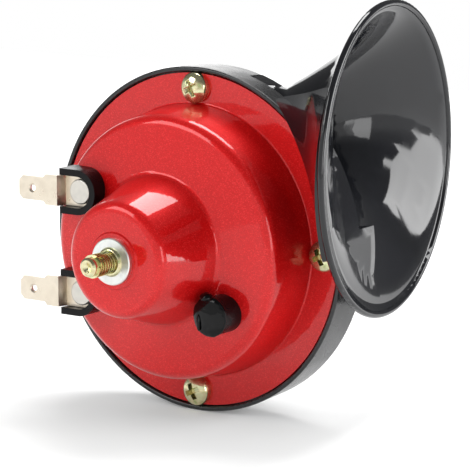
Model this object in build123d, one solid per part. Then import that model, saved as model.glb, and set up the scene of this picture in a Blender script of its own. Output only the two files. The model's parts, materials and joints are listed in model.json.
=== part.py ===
"""Electric disc horn with a snail trumpet, for a car. One STEP file per piece, in millimetres.

The stud's axis is Y and the stud points along -Y. +Z is up and the bell opens towards +X.
The origin is on the stud's axis, where its thread starts, in front of the washer.
A value that ends in _y is a station along Y. Everything grows from the sizes below.
"""

from build123d import *
import os
from math import atan2, cos, degrees, exp, hypot, log, pi, radians, sin

os.makedirs("parts", exist_ok=True)

# ---- Stud, washer and seat -------------------------------------------------------------
stud_radius = 3.0
stud_length = 8.8
stud_chamfer = 0.7
stud_centre_hole_radius = 1.2
stud_centre_hole_depth = 0.9
shoulder_radius = 3.5
shoulder_height = 0.8
washer_radius = 6.1
washer_thickness = 1.2
washer_bore_clearance = 0.1
washer_edge = 0.25

# ---- Pressed steel cover ---------------------------------------------------------------
sheet = 1.0
pad_radius = 7.6
pad_height = 0.4
boss_front_radius = 14.7
boss_root_radius = 19.7
boss_height = 18.3
boss_edge_fillet = 3.0
boss_root_fillet = 1.6
plateau_radius = 34.7
plateau_fall = 2.5
plateau_fillet = 3.0
dome_root_radius = 36.3
dome_side_height = 15.3
flange_radius = 44.3
flange_root_fillet = 0.4

# ---- Clamped stack behind the cover's flange -------------------------------------------
gasket_thickness = 0.5
gasket_inner_radius = 36.8
diaphragm_thickness = 0.3
diaphragm_ripple_radius = 28.0
diaphragm_ripple_width = 5.0
diaphragm_ripple_height = 0.7

# ---- Front shell -----------------------------------------------------------------------
rim_radius = 46.0
rim_proud = 0.7
rim_clearance = 0.35
rim_edge_fillet = 0.5
skirt_rear_radius = 45.3
skirt_length = 12.5
skirt_wall = 2.2
seat_inner_radius = 36.8
chamber_depth = 1.8
floor_thickness = 2.2
throat_radius = 6.0
rib_thickness = 1.6
rib_count = 12
rib_set_back = 1.0
rib_first_step = 1.5
notch_start_angle = 8.0
notch_end_angle = 74.0
seam_gap = 0.15
neck_top_z = 39.2
neck_bottom_z = 14.6

# ---- Flange screws ---------------------------------------------------------------------
screw_circle_radius = 40.5
screw_count = 4
screw_shank_radius = 1.8
screw_hole_clearance = 0.3
screw_pilot_clearance = 0.05
screw_length = 10.0
screw_head_radius = 3.8
screw_head_height = 2.2
screw_head_fillet = 1.1
screw_recess_width = 1.0
screw_recess_span = 4.4
screw_recess_depth = 1.2
screw_boss_radius = 3.0

# ---- Trumpet: spiral duct, neck and bell -----------------------------------------------
duct_outer_radius = 34.9
duct_width = 19.0
duct_depth = 20.0
duct_wall = 2.0
duct_back = 1.8
duct_turn = 400.0
duct_mouth_turn = 75.0
duct_centre_radius = 7.0
duct_edge_fillet = 4.5
duct_point_angle = 15.0
duct_least_points = 6
groove_depth = 1.2
exit_square_length = 4.0
exit_wall = 2.3
neck_start_x = 14.0
neck_front_wall = 2.0
mouth_x = 46.9
mouth_behind_rim = 20.0
mouth_z = 23.2
mouth_radius = 41.2
mouth_turn = 9.0
bell_wall = 1.6
bell_wall_forward = 0.5
bell_extra_stations = 1
bell_front_start = 0.56
bell_front_power = 1.5
bell_rear_power = 2.2
bell_top_power = 1.4
bell_bottom_power = 4.5
bell_stations = 13
bell_points = 12
lip_bead_radius = 0.9
trim_size = 300.0
lip_proud = 0.2
notch_seam_angle = 0.3
groove_width = 1.0
groove_turn = 250.0
groove_set_back = 20.0

# ---- Magnet: core, bobbin, coil and pole plate ------------------------------------------
core_radius = 6.0
core_flange_radius = 10.0
core_flange_thickness = 2.0
core_length = 13.0
bobbin_clearance = 0.2
bobbin_tube_wall = 1.0
bobbin_flange_radius = 13.3
bobbin_flange_thickness = 1.2
coil_radius = 12.6
pole_plate_radius = 22.0
pole_plate_thickness = 1.6
pole_plate_seat_gap = 0.05

# ---- Armature on the diaphragm ----------------------------------------------------------
pole_gap = 1.0
armature_clearance = 0.45
armature_shoulder_radius = 8.5
armature_shoulder_length = 9.0
armature_shank_radius = 2.0
armature_shank_clearance = 0.1
armature_washer_radius = 7.0
armature_washer_thickness = 0.8
armature_nut_flats = 7.0
armature_nut_height = 3.2
armature_shank_end = 0.6

# ---- Contact breaker --------------------------------------------------------------------
adjuster_x = 20.7
adjuster_z = -14.4
breaker_x = -9.0
breaker_z = -16.5
breaker_strip_width = 6.0
breaker_foot_width = 8.6
breaker_post_radius = 3.0
breaker_rivet_radius = 1.2
breaker_rivet_clearance = 0.05
breaker_rivet_head_radius = 2.0
breaker_rivet_head_height = 0.8
blade_thickness = 0.3
blade_reach = 19.0
blade_finger_width = 4.0
blade_collar_gap = 0.3
blade_finger_overlap = 1.5
contact_radius = 1.8
contact_height = 1.0
contact_station = 16.0
carrier_thickness = 0.8
carrier_overhang = 3.0
stack_washer_thickness = 0.8

# ---- Adjusting screw --------------------------------------------------------------------
adjuster_bush_radius = 3.0
adjuster_bush_clearance = 0.1
adjuster_bush_front = 3.0
adjuster_bush_back = 1.8
adjuster_screw_radius = 2.0
adjuster_screw_clearance = 0.05
adjuster_screw_front = 5.0
adjuster_slot_width = 0.8
adjuster_slot_depth = 1.0
sleeve_radius = 5.0
sleeve_wall = 0.8
sleeve_height = 6.4
sealant_set_back = 0.3

# ---- Terminals --------------------------------------------------------------------------
terminal_x = -23.0
terminal_spacing = 27.0
insulator_radius = 6.0
insulator_wall = 1.8
insulator_arm = 5.6
insulator_front = 5.4
insulator_floor = 2.4
insulator_spigot_radius = 2.6
insulator_hole_clearance = 0.1
blade_sheet = 0.8
blade_slot_clearance = 0.15
blade_joggle = 2.8
blade_joggle_x = -28.2
blade_shoulder_x = -33.7
blade_tip_x = -41.7
tab_width = 6.3
tab_corner = 1.2
tab_hole_radius = 0.85
tab_hole_from_tip = 4.4
tab_hole_edge = 0.35
rivet_radius = 1.6
rivet_clearance = 0.05
rivet_head_radius = 3.35
rivet_head_height = 1.0
rivet_tail_radius = 2.6
rivet_tail_height = 1.0
inner_washer_radius = 4.3
inner_washer_thickness = 1.0
lead_radius = 0.6
lead_bend = 1.5
lead_rise = 4.0
lead_end_gap = 0.4
lead_hole_circle = 16.2
lead_hole_clearance = 0.4
upper_lead_angle = 150.0
lower_lead_angle = 215.0

# ---- Stations along Y, each from the one before -----------------------------------------
washer_front_y = shoulder_height
pad_y = washer_front_y + washer_thickness
boss_y = pad_y + pad_height
boss_root_y = boss_y + boss_height
plateau_y = boss_root_y + plateau_fall
flange_y = plateau_y + dome_side_height
flange_back_y = flange_y + sheet
rim_y = flange_y - rim_proud
diaphragm_y = flange_back_y + gasket_thickness
diaphragm_back_y = diaphragm_y + diaphragm_thickness
seat_y = diaphragm_back_y + gasket_thickness
floor_y = seat_y + chamber_depth
floor_back_y = floor_y + floor_thickness
skirt_back_y = rim_y + skirt_length
duct_back_y = floor_back_y + duct_depth
trumpet_back_y = duct_back_y + duct_back
mouth_y = rim_y + mouth_behind_rim
boss_inner_y = boss_y + sheet
core_flange_back_y = boss_inner_y + core_flange_thickness
pole_y = boss_inner_y + core_length
rim_inner_radius = flange_radius + rim_clearance
plateau_slope = plateau_fall / (plateau_radius - boss_root_radius)
sheet_along_y = sheet * hypot(1, plateau_slope)


def plateau_inner_y(radius):
    """Station of the plateau's inner face at a distance from the stud's axis."""
    return boss_root_y + (radius - boss_root_radius) * plateau_slope + sheet_along_y


pole_plate_y = plateau_inner_y(pole_plate_radius) + pole_plate_seat_gap
pole_plate_back_y = pole_plate_y + pole_plate_thickness


# ---- Helpers ----------------------------------------------------------------------------
def turned(points, rounds=()):
    """A solid of revolution about Y from (radius, y) points; rounds are (point number, radius)."""
    face = make_face(Polyline(*points, close=True))
    for number, radius in rounds:
        corner = Vector(*points[number])
        vertex = face.vertices().sort_by_distance(corner)[0]
        face = fillet(vertex, radius)
    return revolve(face, Axis.Y)


def rod(radius, start_y, end_y, x=0.0, z=0.0):
    """A round bar along +Y between two stations."""
    base = Plane(origin=(x, start_y, z), x_dir=(1, 0, 0), z_dir=(0, 1, 0))
    return extrude(base * Circle(radius), end_y - start_y)


def ring(outer_radius, inner_radius, start_y, end_y, x=0.0, z=0.0):
    """A tube along +Y between two stations."""
    return rod(outer_radius, start_y, end_y, x, z) - rod(inner_radius, start_y, end_y, x, z)


def cone_pit(front_radius, back_radius, start_y, depth, x, z):
    """A tapered pit that narrows along +Y from a station."""
    pit = Cone(front_radius, back_radius, depth, align=(Align.CENTER, Align.CENTER, Align.MIN))
    return Pos(x, start_y, z) * Rot(-90, 0, 0) * pit


def slab(face_points, start_y, end_y):
    """A flat plate from (x, z) corners, between two stations."""
    outline = make_face(Polyline(*[(x, start_y, z) for x, z in face_points], close=True))
    return extrude(outline, end_y - start_y, dir=(0, 1, 0))


def around(radius, angle):
    """A point (x, z) at a radius and an angle in degrees from +X towards +Z."""
    return radius * cos(radians(angle)), radius * sin(radians(angle))


def blend(start, end, share):
    """The value part of the way from start to end."""
    return start + (end - start) * share


def screw_places():
    """The flange screws' places, the first at the top."""
    return [around(screw_circle_radius, 90 + 360 / screw_count * n) for n in range(screw_count)]


def keep(shape, name):
    """Writes one piece to its STEP file."""
    export_step(shape, f"parts/{name}.step")


# ---- Pressed steel cover ----------------------------------------------------------------
dome = turned(
    [
        (0, pad_y),
        (pad_radius - pad_height, pad_y),
        (pad_radius, boss_y),
        (boss_front_radius, boss_y),
        (boss_root_radius, boss_root_y),
        (plateau_radius, plateau_y),
        (dome_root_radius, flange_y),
        (dome_root_radius, flange_back_y + sheet),
        (0, flange_back_y + sheet),
    ],
    [(3, boss_edge_fillet), (4, boss_root_fillet), (5, plateau_fillet)],
)
dome_cavity = offset(dome, amount=-sheet)

rivet_places = [(terminal_x, side * terminal_spacing / 2) for side in (1, -1)]
adjuster_place = (adjuster_x, adjuster_z)


def make_cover():
    """One pressing: boss, plateau, dome side and flange, with its holes."""
    flange = rod(flange_radius, flange_y, flange_back_y)
    body = dome & rod(flange_radius, 0, flange_back_y)
    body = body + flange
    root = body.edges().filter_by(GeomType.CIRCLE)
    root = [e for e in root if abs(e.radius - dome_root_radius) < flange_root_fillet / 2]
    body = fillet(root, flange_root_fillet)
    body = body - dome_cavity
    body = body - rod(shoulder_radius + washer_bore_clearance, 0, boss_root_y)
    for x, z in rivet_places:
        hole = insulator_spigot_radius + insulator_hole_clearance
        body = body - rod(hole, boss_root_y, flange_y, x, z)
    hole = adjuster_bush_radius + adjuster_bush_clearance
    body = body - rod(hole, boss_root_y, flange_y, *adjuster_place)
    for x, z in screw_places():
        body = body - rod(screw_shank_radius + screw_hole_clearance, rim_y, seat_y, x, z)
    return body


# ---- Clamped stack ----------------------------------------------------------------------
def make_gasket(front_y):
    """Fibre ring between the diaphragm and its clamping face."""
    body = ring(flange_radius, gasket_inner_radius, front_y, front_y + gasket_thickness)
    for x, z in screw_places():
        body = body - rod(screw_shank_radius + screw_hole_clearance, rim_y, floor_y, x, z)
    return body


def make_diaphragm():
    """Spring steel disc with one ripple, clamped at its edge and holed for the armature."""
    inner = diaphragm_ripple_radius - diaphragm_ripple_width / 2
    outer = diaphragm_ripple_radius + diaphragm_ripple_width / 2
    bore = armature_shank_radius + armature_shank_clearance
    crest = (diaphragm_ripple_radius, diaphragm_y - diaphragm_ripple_height)
    back_crest = (diaphragm_ripple_radius, diaphragm_back_y - diaphragm_ripple_height)
    front = [
        Line((bore, diaphragm_y), (inner, diaphragm_y)),
        ThreePointArc((inner, diaphragm_y), crest, (outer, diaphragm_y)),
        Line((outer, diaphragm_y), (flange_radius, diaphragm_y)),
    ]
    back = [
        Line((flange_radius, diaphragm_y), (flange_radius, diaphragm_back_y)),
        Line((flange_radius, diaphragm_back_y), (outer, diaphragm_back_y)),
        ThreePointArc((outer, diaphragm_back_y), back_crest, (inner, diaphragm_back_y)),
        Line((inner, diaphragm_back_y), (bore, diaphragm_back_y)),
        Line((bore, diaphragm_back_y), (bore, diaphragm_y)),
    ]
    body = revolve(make_face(front + back), Axis.Y)
    for x, z in screw_places():
        body = body - rod(screw_shank_radius + screw_hole_clearance, rim_y, floor_y, x, z)
    return body


# ---- Spiral duct ------------------------------------------------------------------------
duct_growth = log(duct_outer_radius / (duct_outer_radius - duct_width - duct_wall)) / (2 * pi)


def spiral_radius(turn):
    """Radius of the duct's outer wall, turn degrees upstream of the exit."""
    return duct_outer_radius * exp(-duct_growth * radians(turn))


def spiral_line(first_turn, last_turn, offset_out, start_y):
    """A smooth curve along the duct's wall, moved outwards by offset_out."""
    steps = max(duct_least_points, round(abs(last_turn - first_turn) / duct_point_angle))
    points = []
    for n in range(steps + 1):
        turn = blend(first_turn, last_turn, n / steps)
        x, z = around(spiral_radius(turn) + offset_out, 90 + turn)
        points.append((x, start_y, z))
    return Spline(*points)


def band(first_turn, last_turn, inner_turns, outer_offset, inner_offset, start_y, end_y):
    """The space between two turns of the spiral, as a solid between two stations."""
    outer = spiral_line(first_turn, last_turn, outer_offset, start_y)
    shift = 360 * inner_turns
    inner = spiral_line(first_turn + shift, last_turn + shift, inner_offset, start_y)
    ends = [Line(outer @ 0, inner @ 0), Line(outer @ 1, inner @ 1)]
    face = make_face([outer, inner] + ends)
    return extrude(face, end_y - start_y, dir=(0, 1, 0))


def sector(first_turn, last_turn, start_y, end_y):
    """The space inside the spiral wall down to the axis, between two turns."""
    outer = spiral_line(first_turn, last_turn, 0, start_y)
    centre = (0, start_y, 0)
    face = make_face([outer, Line(centre, outer @ 0), Line(outer @ 1, centre)])
    return extrude(face, end_y - start_y, dir=(0, 1, 0))


exit_top_z = duct_outer_radius
exit_bottom_z = duct_outer_radius - duct_width
exit_middle_z = (exit_top_z + exit_bottom_z) / 2


def exit_box(grow, start_x, end_x, start_y, end_y):
    """The straight square length of duct after the spiral, grown outwards by grow."""
    top = exit_top_z + grow
    bottom = exit_bottom_z - grow
    corners = [(start_x, bottom), (end_x, bottom), (end_x, top), (start_x, top)]
    return slab(corners, start_y, end_y)


# ---- Front shell's outline, which the trumpet fits round --------------------------------
def notch_wedge(margin, start_y, end_y):
    """The sector of the skirt that the trumpet's neck passes through, narrowed by margin degrees."""
    first = notch_start_angle + margin
    last = notch_end_angle - margin
    reach = 2 * rim_radius
    middle = (first + last) / 2
    corners = [(0, 0), around(reach, first), around(reach, middle), around(reach, last)]
    return slab(corners, start_y, end_y)


def shell_outline(grow):
    """The front shell's outside, grown: a full disc to the floor's back, then the open skirt."""
    front_y = mouth_y - mouth_radius - bell_wall
    disc = turned([
        (0, front_y),
        (rim_radius + grow, front_y),
        (rim_radius + grow, rim_y),
        (skirt_radius(floor_back_y) + grow, floor_back_y),
        (0, floor_back_y),
    ])
    skirt = turned([
        (boss_inner_radius - grow, floor_back_y),
        (skirt_radius(floor_back_y) + grow, floor_back_y),
        (skirt_rear_radius + grow, skirt_back_y + grow),
        (boss_inner_radius - grow, skirt_back_y + grow),
    ])
    return disc + (skirt - notch_wedge(0, floor_back_y, skirt_back_y + grow))


def skirt_radius(station_y):
    """The drafted skirt's outer radius at a station."""
    return blend(rim_radius, skirt_rear_radius, (station_y - rim_y) / skirt_length)


skirt_inner_radius = skirt_rear_radius - skirt_wall
boss_inner_radius = screw_circle_radius - screw_boss_radius


# ---- Bell -------------------------------------------------------------------------------
mouth_across = (mouth_radius * sin(radians(mouth_turn)), mouth_radius * cos(radians(mouth_turn)))
mouth_front = (mouth_x + mouth_across[0], mouth_y - mouth_across[1])
mouth_rear = (mouth_x - mouth_across[0], mouth_y + mouth_across[1])
neck_front_y = floor_back_y - neck_front_wall
neck_rear_y = duct_back_y + duct_back


def bell_section(share, inset, forward):
    """The bell's outline at a share of the way from neck to mouth, on its own tilted plane."""
    late = max(0.0, (share - bell_front_start) / (1 - bell_front_start))
    front_x = blend(neck_start_x, mouth_front[0], share) + forward
    front_y = blend(neck_front_y, mouth_front[1], late**bell_front_power) + inset
    rear_x = blend(neck_start_x, mouth_rear[0], share) + forward
    rear_y = blend(neck_rear_y, mouth_rear[1], share**bell_rear_power) - inset
    top = blend(neck_top_z, mouth_z + mouth_radius, share**bell_top_power) - inset
    bottom = blend(neck_bottom_z, mouth_z - mouth_radius, share**bell_bottom_power) + inset
    points = []
    for n in range(bell_points):
        angle = 2 * pi * n / bell_points
        along = (1 - cos(angle)) / 2
        height = (top + bottom) / 2 + (top - bottom) / 2 * sin(angle)
        points.append((blend(front_x, rear_x, along), blend(front_y, rear_y, along), height))
    return make_face(Spline(*points, periodic=True))


def bell_body(inset, forward, forward_trim):
    """The bell from its neck to its mouth's plane, or just past it, through its sections."""
    sections = []
    for n in range(bell_stations + bell_extra_stations):
        share = n / (bell_stations - 1)
        sections.append(bell_section(share, inset, forward * share))
    return loft(sections, ruled=True) - past_mouth(forward_trim)


def past_mouth(distance):
    """The space beyond a distance in front of the mouth's plane, which trims the bell."""
    block = Box(trim_size, trim_size, trim_size, align=(Align.MIN, Align.CENTER, Align.CENTER))
    return Pos(mouth_x, mouth_y, mouth_z) * Rot(0, 0, mouth_turn) * Pos(distance, 0, 0) * block


def neck_body(grow, front_y, inset):
    """The duct's change from square to round, ahead of the bell."""
    width = exit_top_z - exit_bottom_z + 2 * grow
    depth = duct_back_y + grow - front_y
    place = Plane(
        origin=(exit_square_length, front_y + depth / 2, exit_middle_z),
        x_dir=(0, -1, 0),
        z_dir=(1, 0, 0),
    )
    return loft([place * Rectangle(depth, width), bell_section(0, inset, 0)])


def make_lip():
    """The rounded bead round the mouth."""
    direction = (cos(radians(mouth_turn)), sin(radians(mouth_turn)), 0)
    place = Plane(origin=(mouth_x, mouth_y, mouth_z), x_dir=(0, 0, 1), z_dir=direction)
    return place * Torus(mouth_radius + lip_proud - lip_bead_radius, lip_bead_radius)


# ---- Trumpet ----------------------------------------------------------------------------
def make_volute_outside():
    """The spiral housing as a solid, with its back edge rounded."""
    outer = spiral_line(0, 360, duct_wall, floor_back_y)
    face = make_face([outer, Line(outer @ 1, outer @ 0)])
    body = extrude(face, trumpet_back_y - floor_back_y, dir=(0, 1, 0))
    back_edges = body.faces().sort_by(Axis.Y)[-1].edges()
    body = fillet(back_edges.sort_by(SortBy.LENGTH)[-1], duct_edge_fillet)
    return body + exit_box(exit_wall, 0, exit_square_length, floor_back_y, duct_back_y + exit_wall)


def make_duct_space():
    """The air path: spiral, its centre and the straight exit."""
    space = band(0, duct_turn, 1, 0, duct_wall, floor_back_y, duct_back_y)
    last = duct_turn + duct_mouth_turn
    space = space + sector(duct_turn, last, floor_back_y, duct_back_y)
    space = space + rod(duct_centre_radius, floor_back_y, duct_back_y)
    return space + exit_box(0, 0, exit_square_length, floor_back_y, duct_back_y)


def make_spiral_groove():
    """The groove on the back that shows where the duct's turns part."""
    start_y = trumpet_back_y - groove_depth
    side = (duct_wall - groove_width) / 2
    first = 360 + groove_set_back
    return band(first, first + groove_turn, 0, duct_wall - side, side, start_y, trumpet_back_y)


def make_trumpet():
    """One moulding: spiral housing, neck, collar and bell, open at the front of its spiral."""
    horn = neck_body(exit_wall, neck_front_y, 0) + bell_body(0, 0, 0)
    body = make_volute_outside() + (horn - shell_outline(seam_gap))
    collar = ring(skirt_rear_radius, skirt_inner_radius, floor_back_y, skirt_back_y)
    body = body + (collar & notch_wedge(notch_seam_angle, floor_back_y, skirt_back_y))
    space = neck_body(0, neck_front_y + bell_wall, bell_wall)
    space = space + bell_body(bell_wall, bell_wall_forward, bell_wall)
    body = body - (space - shell_outline(seam_gap + bell_wall))
    body = body - make_duct_space() - make_spiral_groove()
    return body + make_lip()


# ---- Front shell ------------------------------------------------------------------------
def make_ribs():
    """Radial ribs between the spiral housing and the skirt, clear of the neck."""
    ribs = []
    for n in range(rib_count):
        angle = notch_end_angle + (360 / rib_count) * (n + rib_first_step)
        if angle > 360 + notch_start_angle - 360 / rib_count:
            continue
        from_axis = (Align.MIN, Align.MIN, Align.CENTER)
        rib = Box(skirt_inner_radius, skirt_length, rib_thickness, align=from_axis)
        rib = Pos(0, skirt_back_y - rib_set_back - skirt_length, 0) * Rot(0, -angle, 0) * rib
        ribs.append(rib)
    keep_out = spiral_line(0, 360, duct_wall + seam_gap, rim_y)
    face = make_face([keep_out, Line(keep_out @ 1, keep_out @ 0)])
    volute = extrude(face, 2 * skirt_length, dir=(0, 1, 0))
    zone = ring(skirt_inner_radius + seam_gap, throat_radius, floor_back_y - seam_gap, skirt_back_y)
    return [(rib & zone) - volute for rib in ribs]


def make_front_shell():
    """Moulded housing front: lip, clamping seat, chamber floor, skirt, bosses and ribs."""
    body = turned(
        [
            (throat_radius, floor_y),
            (seat_inner_radius, floor_y),
            (seat_inner_radius, seat_y),
            (rim_inner_radius, seat_y),
            (rim_inner_radius, rim_y),
            (rim_radius, rim_y),
            (skirt_rear_radius, skirt_back_y),
            (skirt_inner_radius, skirt_back_y),
            (skirt_inner_radius, floor_back_y),
            (throat_radius, floor_back_y),
        ],
        [(4, rim_edge_fillet), (5, rim_edge_fillet), (6, rim_edge_fillet)],
    )
    body = body - notch_wedge(0, floor_back_y, skirt_back_y)
    for rib in make_ribs():
        body = body + rib
    boss_back_y = skirt_back_y - rib_set_back
    for x, z in screw_places():
        body = body + rod(screw_boss_radius, floor_back_y - seam_gap, boss_back_y, x, z)
    for x, z in screw_places():
        pilot = screw_shank_radius + screw_pilot_clearance
        body = body - rod(pilot, rim_y, flange_y + screw_length + sheet / 2, x, z)
    return body


# ---- Flange screws ----------------------------------------------------------------------
def make_flange_screws():
    """Four pan head screws with cross recesses, in one group."""
    head = turned(
        [
            (0, flange_y - screw_head_height),
            (screw_head_radius, flange_y - screw_head_height),
            (screw_head_radius, flange_y),
            (screw_shank_radius, flange_y),
            (screw_shank_radius, flange_y + screw_length - screw_shank_radius),
            (screw_shank_radius / 3, flange_y + screw_length),
            (0, flange_y + screw_length),
        ],
        [(1, screw_head_fillet)],
    )
    recess = Box(screw_recess_span, 2 * screw_recess_depth, screw_recess_width)
    recess = recess + Box(screw_recess_width, 2 * screw_recess_depth, screw_recess_span)
    head = head - Pos(0, flange_y - screw_head_height, 0) * recess
    return Compound([Pos(x, 0, z) * head for x, z in screw_places()])


# ---- Stud and its washer ----------------------------------------------------------------
def make_core_stud():
    """Magnet core, its seating flange, the shoulder through the cover and the stud in front."""
    body = turned(
        [
            (0, -stud_length),
            (stud_radius, -stud_length),
            (stud_radius, 0),
            (shoulder_radius, 0),
            (shoulder_radius, boss_inner_y),
            (core_flange_radius, boss_inner_y),
            (core_flange_radius, core_flange_back_y),
            (core_radius, core_flange_back_y),
            (core_radius, pole_y),
            (0, pole_y),
        ]
    )
    tip = body.edges().group_by(Axis.Y)[0]
    body = chamfer(tip, stud_chamfer)
    return body - cone_pit(stud_centre_hole_radius, 0, -stud_length, stud_centre_hole_depth, 0, 0)


def make_stud_washer():
    """Flat zinc washer between the cover's pad and whatever the stud holds."""
    bore = shoulder_radius + washer_bore_clearance
    body = ring(washer_radius, bore, washer_front_y, pad_y)
    return chamfer(body.edges().group_by(Axis.Y)[0], washer_edge)


# ---- Magnet -----------------------------------------------------------------------------
bobbin_bore = core_radius + bobbin_clearance
bobbin_tube_radius = bobbin_bore + bobbin_tube_wall
bobbin_y = core_flange_back_y
bobbin_back_y = pole_plate_y


def make_coil_bobbin():
    """Moulded spool on the core, from its flange to the pole plate."""
    return turned(
        [
            (bobbin_bore, bobbin_y),
            (bobbin_flange_radius, bobbin_y),
            (bobbin_flange_radius, bobbin_y + bobbin_flange_thickness),
            (bobbin_tube_radius, bobbin_y + bobbin_flange_thickness),
            (bobbin_tube_radius, bobbin_back_y - bobbin_flange_thickness),
            (bobbin_flange_radius, bobbin_back_y - bobbin_flange_thickness),
            (bobbin_flange_radius, bobbin_back_y),
            (bobbin_bore, bobbin_back_y),
        ]
    )


def make_coil_winding():
    """The enamelled wire winding as one solid."""
    start_y = bobbin_y + bobbin_flange_thickness
    end_y = bobbin_back_y - bobbin_flange_thickness
    return ring(coil_radius, bobbin_tube_radius, start_y, end_y)


def make_pole_plate():
    """Steel disc behind the plateau that leads the magnet's flux to the armature."""
    bore = armature_radius + armature_clearance
    body = with_rivet_holes(ring(pole_plate_radius, bore, pole_plate_y, pole_plate_back_y))
    head = breaker_rivet_head_radius + breaker_rivet_clearance
    for x, z in breaker_rivet_places():
        body = body - rod(head, pole_plate_y, pole_plate_y + breaker_rivet_head_height, x, z)
    for angle in (upper_lead_angle, lower_lead_angle):
        x, z = around(lead_hole_circle, angle)
        body = body - rod(lead_radius + lead_hole_clearance, pole_plate_y, pole_plate_back_y, x, z)
    return body


# ---- Armature ---------------------------------------------------------------------------
armature_radius = bobbin_bore - armature_clearance
armature_front_y = pole_y + pole_gap
front_washer_y = diaphragm_y - armature_washer_thickness
collar_y = front_washer_y - armature_shoulder_length
rear_washer_back_y = diaphragm_back_y + armature_washer_thickness
nut_back_y = rear_washer_back_y + armature_nut_height


def make_armature():
    """Steel plunger with the collar that works the contacts, and the shank for its nut."""
    return turned(
        [
            (0, armature_front_y),
            (armature_radius, armature_front_y),
            (armature_radius, collar_y),
            (armature_shoulder_radius, collar_y),
            (armature_shoulder_radius, front_washer_y),
            (armature_shank_radius, front_washer_y),
            (armature_shank_radius, nut_back_y + armature_shank_end),
            (0, nut_back_y + armature_shank_end),
        ]
    )


def make_armature_washer(front_y):
    """One of the two washers that clamp the diaphragm on the armature."""
    bore = armature_shank_radius + armature_shank_clearance
    return ring(armature_washer_radius, bore, front_y, front_y + armature_washer_thickness)


def make_armature_nut():
    """Hexagon nut behind the diaphragm."""
    place = Plane(origin=(0, rear_washer_back_y, 0), x_dir=(1, 0, 0), z_dir=(0, 1, 0))
    hexagon = RegularPolygon(armature_nut_flats / 2, 6, major_radius=False)
    body = extrude(place * hexagon, armature_nut_height)
    bore = armature_shank_radius + armature_shank_clearance
    return body - rod(bore, rear_washer_back_y, nut_back_y)


# ---- Contact breaker --------------------------------------------------------------------
breaker_angle = degrees(atan2(adjuster_z - breaker_z, adjuster_x - breaker_x))
breaker_span = hypot(adjuster_z - breaker_z, adjuster_x - breaker_x)
axis_station = -(breaker_x * cos(radians(breaker_angle)) + breaker_z * sin(radians(breaker_angle)))
axis_distance = breaker_x * sin(radians(breaker_angle)) - breaker_z * cos(radians(breaker_angle))
blade_back_y = collar_y - blade_collar_gap
blade_front_y = blade_back_y - blade_thickness
moving_contact_back_y = blade_back_y + contact_height
carrier_y = moving_contact_back_y + contact_height
carrier_back_y = carrier_y + carrier_thickness
stack_back_y = carrier_back_y + stack_washer_thickness


def on_strip(station, aside):
    """A point (x, z) at a station along the breaker's strips and a distance aside of them."""
    step_x, step_z = around(station, breaker_angle)
    side_x, side_z = around(aside, breaker_angle + 90)
    return breaker_x + step_x + side_x, breaker_z + step_z + side_z


def strip(first, last, low, high, start_y, end_y):
    """A flat strip from station first to last and from low to high aside, between two stations."""
    corners = [on_strip(first, low), on_strip(last, low), on_strip(last, high), on_strip(first, high)]
    return slab(corners, start_y, end_y)


def breaker_rivet_places():
    """The places of the two rivets that hold the breaker's stack."""
    half = breaker_post_radius / 2 + breaker_rivet_radius / 2
    return [on_strip(0, -half), on_strip(0, half)]


def with_rivet_holes(body):
    """The body with clearance holes for the stack's rivets."""
    for x, z in breaker_rivet_places():
        body = body - rod(breaker_rivet_radius + breaker_rivet_clearance, pole_y, seat_y, x, z)
    return body


def stack_block(start_y, end_y):
    """A block of the breaker's stack, the same outline as the strips' feet."""
    half = breaker_foot_width / 2
    foot = breaker_post_radius
    return with_rivet_holes(strip(-foot, foot, -half, half, start_y, end_y))


def make_contact_blade():
    """Spring blade with the moving contact and the finger that the armature's collar meets."""
    foot = breaker_post_radius
    half = breaker_strip_width / 2
    body = stack_block(blade_front_y, blade_back_y)
    body = body + strip(foot, blade_reach, -half, half, blade_front_y, blade_back_y)
    tip = axis_distance - armature_shoulder_radius + blade_finger_overlap
    side = blade_finger_width / 2
    first = axis_station - side
    return body + strip(first, axis_station + side, 0, tip, blade_front_y, blade_back_y)


def make_contact_carrier():
    """Stiff strip that carries the fixed contact and ends on the adjusting screw's tip."""
    foot = breaker_post_radius
    half = breaker_strip_width / 2
    body = stack_block(carrier_y, carrier_back_y)
    last = breaker_span + carrier_overhang
    return body + strip(foot, last, -half, half, carrier_y, carrier_back_y)


def make_contact(front_y):
    """One tungsten contact."""
    x, z = on_strip(contact_station, 0)
    return rod(contact_radius, front_y, front_y + contact_height, x, z)


def make_breaker_rivets():
    """The two rivets through the stack and the pole plate, in one group."""
    rivets = []
    for x, z in breaker_rivet_places():
        head_back_y = pole_plate_y + breaker_rivet_head_height
        tail_y = stack_back_y + breaker_rivet_head_height
        rivet = rod(breaker_rivet_radius, pole_plate_y, stack_back_y, x, z)
        rivet = rivet + rod(breaker_rivet_head_radius, pole_plate_y, head_back_y, x, z)
        rivet = rivet + rod(breaker_rivet_head_radius, stack_back_y, tail_y, x, z)
        rivets.append(rivet)
    return Compound(rivets)


# ---- Adjusting screw --------------------------------------------------------------------
adjuster_seat_y = plateau_inner_y(hypot(adjuster_x, adjuster_z)) - sheet_along_y
bush_y = adjuster_seat_y - adjuster_bush_front
bush_back_y = adjuster_seat_y + sheet_along_y + adjuster_bush_back
screw_front_y = adjuster_seat_y - adjuster_screw_front
sleeve_y = adjuster_seat_y - sleeve_height


def make_adjusting_bush():
    """Threaded bush in the cover for the adjusting screw."""
    bore = adjuster_screw_radius + adjuster_screw_clearance
    return ring(adjuster_bush_radius, bore, bush_y, bush_back_y, *adjuster_place)


def make_adjusting_screw():
    """Slotted grub screw whose tip bears on the contact carrier."""
    body = rod(adjuster_screw_radius, screw_front_y, carrier_y, *adjuster_place)
    slot = Box(2 * adjuster_screw_radius, 2 * adjuster_slot_depth, adjuster_slot_width)
    return body - Pos(adjuster_x, screw_front_y, adjuster_z) * slot


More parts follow.
